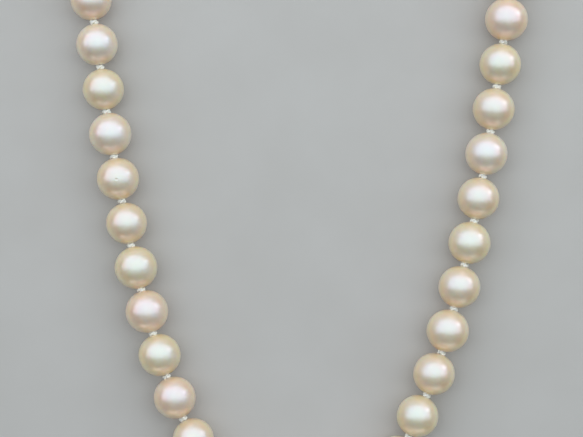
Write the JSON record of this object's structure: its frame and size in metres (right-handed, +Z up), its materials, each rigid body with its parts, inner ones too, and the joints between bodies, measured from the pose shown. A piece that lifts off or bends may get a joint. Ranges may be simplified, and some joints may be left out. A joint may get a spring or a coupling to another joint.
{
  "type": "pearl necklace",
  "caption": "Hand-knotted strand of round pearls with a box clasp, laid undone in a U-shaped loop.",
  "frame": {"origin": "centre of the laid strand's outline, on the surface it lies on", "axes": "+Z up off the surface, -Y towards the front of the loop, +Y towards the clasp, +X to the wearer's left as pictured"},
  "size_m": [0.0923, 0.1745, 0.0077],
  "materials": {
    "nacre": "creamy white pearl nacre with a soft lustre",
    "silk": "ivory twisted silk, knotted",
    "french_wire": "fine coiled gilt wire",
    "gold": "polished gold plate",
    "spring_gold": "hard-rolled gold-plated spring strip"
  },
  "bodies": {
    "front": {"pearl_front": "nacre", "silk_thread": "silk"},
    "left_01": {"pearl_left_01": "nacre"},
    "left_02": {"pearl_left_02": "nacre"},
    "left_03": {"pearl_left_03": "nacre"},
    "left_04": {"pearl_left_04": "nacre"},
    "left_05": {"pearl_left_05": "nacre"},
    "left_06": {"pearl_left_06": "nacre"},
    "left_07": {"pearl_left_07": "nacre"},
    "left_08": {"pearl_left_08": "nacre"},
    "left_09": {"pearl_left_09": "nacre"},
    "left_10": {"pearl_left_10": "nacre"},
    "left_11": {"pearl_left_11": "nacre"},
    "left_12": {"pearl_left_12": "nacre"},
    "left_13": {"pearl_left_13": "nacre"},
    "left_14": {"pearl_left_14": "nacre"},
    "left_15": {"pearl_left_15": "nacre"},
    "left_16": {"pearl_left_16": "nacre"},
    "left_17": {"pearl_left_17": "nacre"},
    "left_18": {"pearl_left_18": "nacre"},
    "left_19": {"pearl_left_19": "nacre"},
    "left_20": {"pearl_left_20": "nacre"},
    "left_21": {"pearl_left_21": "nacre"},
    "left_22": {"pearl_left_22": "nacre"},
    "left_23": {"pearl_left_23": "nacre"},
    "left_end_loop": {"french_wire_tongue_end": "french_wire"},
    "right_01": {"pearl_right_01": "nacre"},
    "right_02": {"pearl_right_02": "nacre"},
    "right_03": {"pearl_right_03": "nacre"},
    "right_04": {"pearl_right_04": "nacre"},
    "right_05": {"pearl_right_05": "nacre"},
    "right_06": {"pearl_right_06": "nacre"},
    "right_07": {"pearl_right_07": "nacre"},
    "right_08": {"pearl_right_08": "nacre"},
    "right_09": {"pearl_right_09": "nacre"},
    "right_10": {"pearl_right_10": "nacre"},
    "right_11": {"pearl_right_11": "nacre"},
    "right_12": {"pearl_right_12": "nacre"},
    "right_13": {"pearl_right_13": "nacre"},
    "right_14": {"pearl_right_14": "nacre"},
    "right_15": {"pearl_right_15": "nacre"},
    "right_16": {"pearl_right_16": "nacre"},
    "right_17": {"pearl_right_17": "nacre"},
    "right_18": {"pearl_right_18": "nacre"},
    "right_19": {"pearl_right_19": "nacre"},
    "right_20": {"pearl_right_20": "nacre"},
    "right_21": {"pearl_right_21": "nacre"},
    "right_22": {"pearl_right_22": "nacre"},
    "right_23": {"pearl_right_23": "nacre"},
    "right_24": {"pearl_right_24": "nacre"},
    "right_end_loop": {"french_wire_box_end": "french_wire"},
    "tongue": {"tongue_ring": "gold", "tongue_end_plate": "gold", "tongue_blade": "spring_gold"},
    "spring_leaf": {"tongue_spring_leaf": "spring_gold"},
    "clasp_box": {"box_ring": "gold", "clasp_box_shell": "gold", "clasp_box_lid": "gold"}
  },
  "joints": [
    {"name": "tongue_swing", "type": "hinge", "parent": "left_end_loop", "child": "tongue", "pos_m": [-0.01524, 0.08038, 0.00275], "axis": [0, -1, 0], "range_deg": [-80, 80]},
    {"name": "tongue_leaf_press", "type": "hinge", "parent": "tongue", "child": "spring_leaf", "pos_m": [-0.00394, 0.08038, 0.0018], "axis": [0, 1, 0], "range_deg": [-8, 0], "stiffness_Nm_per_rad": 0.15},
    {"name": "box_swing", "type": "hinge", "parent": "right_end_loop", "child": "clasp_box", "pos_m": [0.01286, 0.08357, 0.00275], "axis": [0, 1, 0], "range_deg": [-80, 80]},
    {"name": "lift_left_01", "type": "hinge", "parent": "front", "child": "left_01", "pos_m": [-0.00588, -0.08294, 0.00373], "axis": [0.3724, 0.9281, 0], "range_deg": [-41.5, 41.5], "deforming": ["silk_thread"]},
    {"name": "bend_left_02", "type": "hinge", "parent": "left_01", "child": "left_02", "pos_m": [-0.01245, -0.078, 0.00372], "axis": [0, 0, -1], "range_deg": [-63.5, 0], "deforming": ["silk_thread"]},
    {"name": "lift_left_05", "type": "hinge", "parent": "left_04", "child": "left_05", "pos_m": [-0.02391, -0.05667, 0.00378], "axis": [0.9419, 0.3359, 0], "range_deg": [-40.5, 40.5], "deforming": ["silk_thread"]},
    {"name": "bend_left_06", "type": "hinge", "parent": "left_05", "child": "left_06", "pos_m": [-0.02637, -0.04894, 0.00381], "axis": [0, 0, -1], "range_deg": [-41, 0], "deforming": ["silk_thread"]},
    {"name": "lift_left_09", "type": "hinge", "parent": "left_08", "child": "left_09", "pos_m": [-0.03188, -0.02528, 0.00374], "axis": [0.9821, 0.1883, 0], "range_deg": [-44, 44], "deforming": ["silk_thread"]},
    {"name": "bend_left_10", "type": "hinge", "parent": "left_09", "child": "left_10", "pos_m": [-0.03332, -0.01731, 0.0038], "axis": [0, 0, -1], "range_deg": [-40, 0], "deforming": ["silk_thread"]},
    {"name": "lift_left_13", "type": "hinge", "parent": "left_12", "child": "left_13", "pos_m": [-0.0369, 0.00672, 0.00371], "axis": [0.9915, 0.1301, 0], "range_deg": [-46, 46], "deforming": ["silk_thread"]},
    {"name": "bend_left_14", "type": "hinge", "parent": "left_13", "child": "left_14", "pos_m": [-0.03791, 0.01476, 0.00375], "axis": [0, 0, -1], "range_deg": [-43.5, 0], "deforming": ["silk_thread"]},
    {"name": "lift_left_17", "type": "hinge", "parent": "left_16", "child": "left_17", "pos_m": [-0.04056, 0.03892, 0.00374], "axis": [0.9951, 0.0993, 0], "range_deg": [-44, 44], "deforming": ["silk_thread"]},
    {"name": "bend_left_18", "type": "hinge", "parent": "left_17", "child": "left_18", "pos_m": [-0.04134, 0.04698, 0.00374], "axis": [0, 0, -1], "range_deg": [-44, 0], "deforming": ["silk_thread"]},
    {"name": "lift_left_21", "type": "hinge", "parent": "left_20", "child": "left_21", "pos_m": [-0.04023, 0.07097, 0.00379], "axis": [0.8635, -0.5044, 0], "range_deg": [-37.5, 37.5], "deforming": ["silk_thread"]},
    {"name": "bend_left_22", "type": "hinge", "parent": "left_21", "child": "left_22", "pos_m": [-0.0347, 0.07705, 0.0038], "axis": [0, 0, -1], "range_deg": [-67, 0], "deforming": ["silk_thread"]},
    {"name": "lift_right_01", "type": "hinge", "parent": "front", "child": "right_01", "pos_m": [0.0023, -0.08405, 0.0037], "axis": [0.1526, -0.9883, 0], "range_deg": [-43, 43], "deforming": ["silk_thread"]},
    {"name": "bend_right_02", "type": "hinge", "parent": "right_01", "child": "right_02", "pos_m": [0.00974, -0.08048, 0.00371], "axis": [0, 0, 1], "range_deg": [-70, 0], "deforming": ["silk_thread"]},
    {"name": "lift_right_05", "type": "hinge", "parent": "right_04", "child": "right_05", "pos_m": [0.02261, -0.06001, 0.00375], "axis": [0.9304, -0.3666, 0], "range_deg": [-42.5, 42.5], "deforming": ["silk_thread"]},
    {"name": "bend_right_06", "type": "hinge", "parent": "right_05", "child": "right_06", "pos_m": [0.02526, -0.05236, 0.00378], "axis": [0, 0, 1], "range_deg": [-43.5, 0], "deforming": ["silk_thread"]},
    {"name": "lift_right_09", "type": "hinge", "parent": "right_08", "child": "right_09", "pos_m": [0.03112, -0.02878, 0.00377], "axis": [0.9802, -0.198, 0], "range_deg": [-41.5, 41.5], "deforming": ["silk_thread"]},
    {"name": "bend_right_10", "type": "hinge", "parent": "right_09", "child": "right_10", "pos_m": [0.03263, -0.02082, 0.00377], "axis": [0, 0, 1], "range_deg": [-42.5, 0], "deforming": ["silk_thread"]},
    {"name": "lift_right_13", "type": "hinge", "parent": "right_12", "child": "right_13", "pos_m": [0.03635, 0.00319, 0.00378], "axis": [0.9909, -0.1347, 0], "range_deg": [-40.5, 40.5], "deforming": ["silk_thread"]},
    {"name": "bend_right_14", "type": "hinge", "parent": "right_13", "child": "right_14", "pos_m": [0.0374, 0.01122, 0.00384], "axis": [0, 0, 1], "range_deg": [-36, 0], "deforming": ["silk_thread"]},
    {"name": "lift_right_17", "type": "hinge", "parent": "right_16", "child": "right_17", "pos_m": [0.04013, 0.03537, 0.00376], "axis": [0.9948, -0.1019, 0], "range_deg": [-42, 42], "deforming": ["silk_thread"]},
    {"name": "bend_right_18", "type": "hinge", "parent": "right_17", "child": "right_18", "pos_m": [0.04093, 0.04343, 0.00372], "axis": [0, 0, 1], "range_deg": [-45.5, 0], "deforming": ["silk_thread"]},
    {"name": "lift_right_21", "type": "hinge", "parent": "right_20", "child": "right_21", "pos_m": [0.04208, 0.06769, 0.00375], "axis": [0.9638, 0.2667, 0], "range_deg": [-41.5, 41.5], "deforming": ["silk_thread"]},
    {"name": "bend_right_22", "type": "hinge", "parent": "right_21", "child": "right_22", "pos_m": [0.03847, 0.07504, 0.00377], "axis": [0, 0, 1], "range_deg": [-65.5, 0], "deforming": ["silk_thread"]},
    {"name": "lift_right_25", "type": "hinge", "parent": "right_24", "child": "right_end_loop", "pos_m": [0.01666, 0.08357, 0.00374], "axis": [0, 1, 0], "range_deg": [-38, 38], "deforming": ["silk_thread"]},
    {"name": "lift_left_03", "type": "hinge", "parent": "left_02", "child": "left_03", "pos_m": [-0.01727, -0.07144, 0.00369], "axis": [-0.8468, -0.5319, 0], "range_deg": [-47, 47], "deforming": ["silk_thread"]},
    {"name": "bend_left_04", "type": "hinge", "parent": "left_03", "child": "left_04", "pos_m": [-0.02096, -0.06421, 0.00374], "axis": [0, 0, 1], "range_deg": [0, 49.5], "deforming": ["silk_thread"]},
    {"name": "lift_left_07", "type": "hinge", "parent": "left_06", "child": "left_07", "pos_m": [-0.02846, -0.04111, 0.00384], "axis": [-0.9703, -0.2419, 0], "range_deg": [-36, 36], "deforming": ["silk_thread"]},
    {"name": "bend_left_08", "type": "hinge", "parent": "left_07", "child": "left_08", "pos_m": [-0.03027, -0.03322, 0.00376], "axis": [0, 0, 1], "range_deg": [0, 43.5], "deforming": ["silk_thread"]},
    {"name": "lift_left_11", "type": "hinge", "parent": "left_10", "child": "left_11", "pos_m": [-0.03462, -0.00931, 0.00375], "axis": [-0.9881, -0.1539, 0], "range_deg": [-43, 43], "deforming": ["silk_thread"]},
    {"name": "bend_left_12", "type": "hinge", "parent": "left_11", "child": "left_12", "pos_m": [-0.03581, -0.0013, 0.00371], "axis": [0, 0, 1], "range_deg": [0, 46.5], "deforming": ["silk_thread"]},
    {"name": "lift_left_15", "type": "hinge", "parent": "left_14", "child": "left_15", "pos_m": [-0.03885, 0.02281, 0.00379], "axis": [-0.9936, -0.1126, 0], "range_deg": [-39.5, 39.5], "deforming": ["silk_thread"]},
    {"name": "bend_left_16", "type": "hinge", "parent": "left_15", "child": "left_16", "pos_m": [-0.03973, 0.03086, 0.00377], "axis": [0, 0, 1], "range_deg": [0, 41.5], "deforming": ["silk_thread"]},
    {"name": "lift_left_19", "type": "hinge", "parent": "left_18", "child": "left_19", "pos_m": [-0.04208, 0.05504, 0.00377], "axis": [-0.9961, -0.0887, 0], "range_deg": [-41.5, 41.5], "deforming": ["silk_thread"]},
    {"name": "bend_left_20", "type": "hinge", "parent": "left_19", "child": "left_20", "pos_m": [-0.04279, 0.06317, 0.00376], "axis": [0, 0, 1], "range_deg": [0, 69], "deforming": ["silk_thread"]},
    {"name": "lift_left_23", "type": "hinge", "parent": "left_22", "child": "left_23", "pos_m": [-0.0272, 0.08037, 0.00376], "axis": [-0.2069, 0.9784, 0], "range_deg": [-40, 40], "deforming": ["silk_thread"]},
    {"name": "bend_left_24", "type": "hinge", "parent": "left_23", "child": "left_end_loop", "pos_m": [-0.01904, 0.08038, 0.00375], "axis": [0, 0, 1], "range_deg": [0, 38], "deforming": ["silk_thread"]},
    {"name": "lift_right_03", "type": "hinge", "parent": "right_02", "child": "right_03", "pos_m": [0.01524, -0.07444, 0.0037], "axis": [-0.7983, 0.6022, 0], "range_deg": [-46, 46], "deforming": ["silk_thread"]},
    {"name": "bend_right_04", "type": "hinge", "parent": "right_03", "child": "right_04", "pos_m": [0.01937, -0.06745, 0.00372], "axis": [0, 0, -1], "range_deg": [0, 53], "deforming": ["silk_thread"]},
    {"name": "lift_right_07", "type": "hinge", "parent": "right_06", "child": "right_07", "pos_m": [0.0275, -0.04457, 0.00379], "axis": [-0.9662, 0.2579, 0], "range_deg": [-40, 40], "deforming": ["silk_thread"]},
    {"name": "bend_right_08", "type": "hinge", "parent": "right_07", "child": "right_08", "pos_m": [0.02943, -0.0367, 0.00377], "axis": [0, 0, -1], "range_deg": [0, 43], "deforming": ["silk_thread"]},
    {"name": "lift_right_11", "type": "hinge", "parent": "right_10", "child": "right_11", "pos_m": [0.03399, -0.01283, 0.00377], "axis": [-0.9871, 0.1604, 0], "range_deg": [-41.5, 41.5], "deforming": ["silk_thread"]},
    {"name": "bend_right_12", "type": "hinge", "parent": "right_11", "child": "right_12", "pos_m": [0.03522, -0.00483, 0.00374], "axis": [0, 0, -1], "range_deg": [0, 44.5], "deforming": ["silk_thread"]},
    {"name": "lift_right_15", "type": "hinge", "parent": "right_14", "child": "right_15", "pos_m": [0.03837, 0.01927, 0.00383], "axis": [-0.9932, 0.1161, 0], "range_deg": [-36.5, 36.5], "deforming": ["silk_thread"]},
    {"name": "bend_right_16", "type": "hinge", "parent": "right_15", "child": "right_16", "pos_m": [0.03928, 0.02731, 0.0038], "axis": [0, 0, -1], "range_deg": [0, 39], "deforming": ["silk_thread"]},
    {"name": "lift_right_19", "type": "hinge", "parent": "right_18", "child": "right_19", "pos_m": [0.04168, 0.05149, 0.00372], "axis": [-0.9959, 0.0909, 0], "range_deg": [-45, 45], "deforming": ["silk_thread"]},
    {"name": "bend_right_20", "type": "hinge", "parent": "right_19", "child": "right_20", "pos_m": [0.04258, 0.05957, 0.00371], "axis": [0, 0, -1], "range_deg": [0, 56.5], "deforming": ["silk_thread"]},
    {"name": "lift_right_23", "type": "hinge", "parent": "right_22", "child": "right_23", "pos_m": [0.03244, 0.08059, 0.00378], "axis": [-0.5291, -0.8486, 0], "range_deg": [-39, 39], "deforming": ["silk_thread"]},
    {"name": "bend_right_24", "type": "hinge", "parent": "right_23", "child": "right_24", "pos_m": [0.02481, 0.08356, 0.00378], "axis": [0, 0, -1], "range_deg": [0, 65], "deforming": ["silk_thread"]}
  ]
}
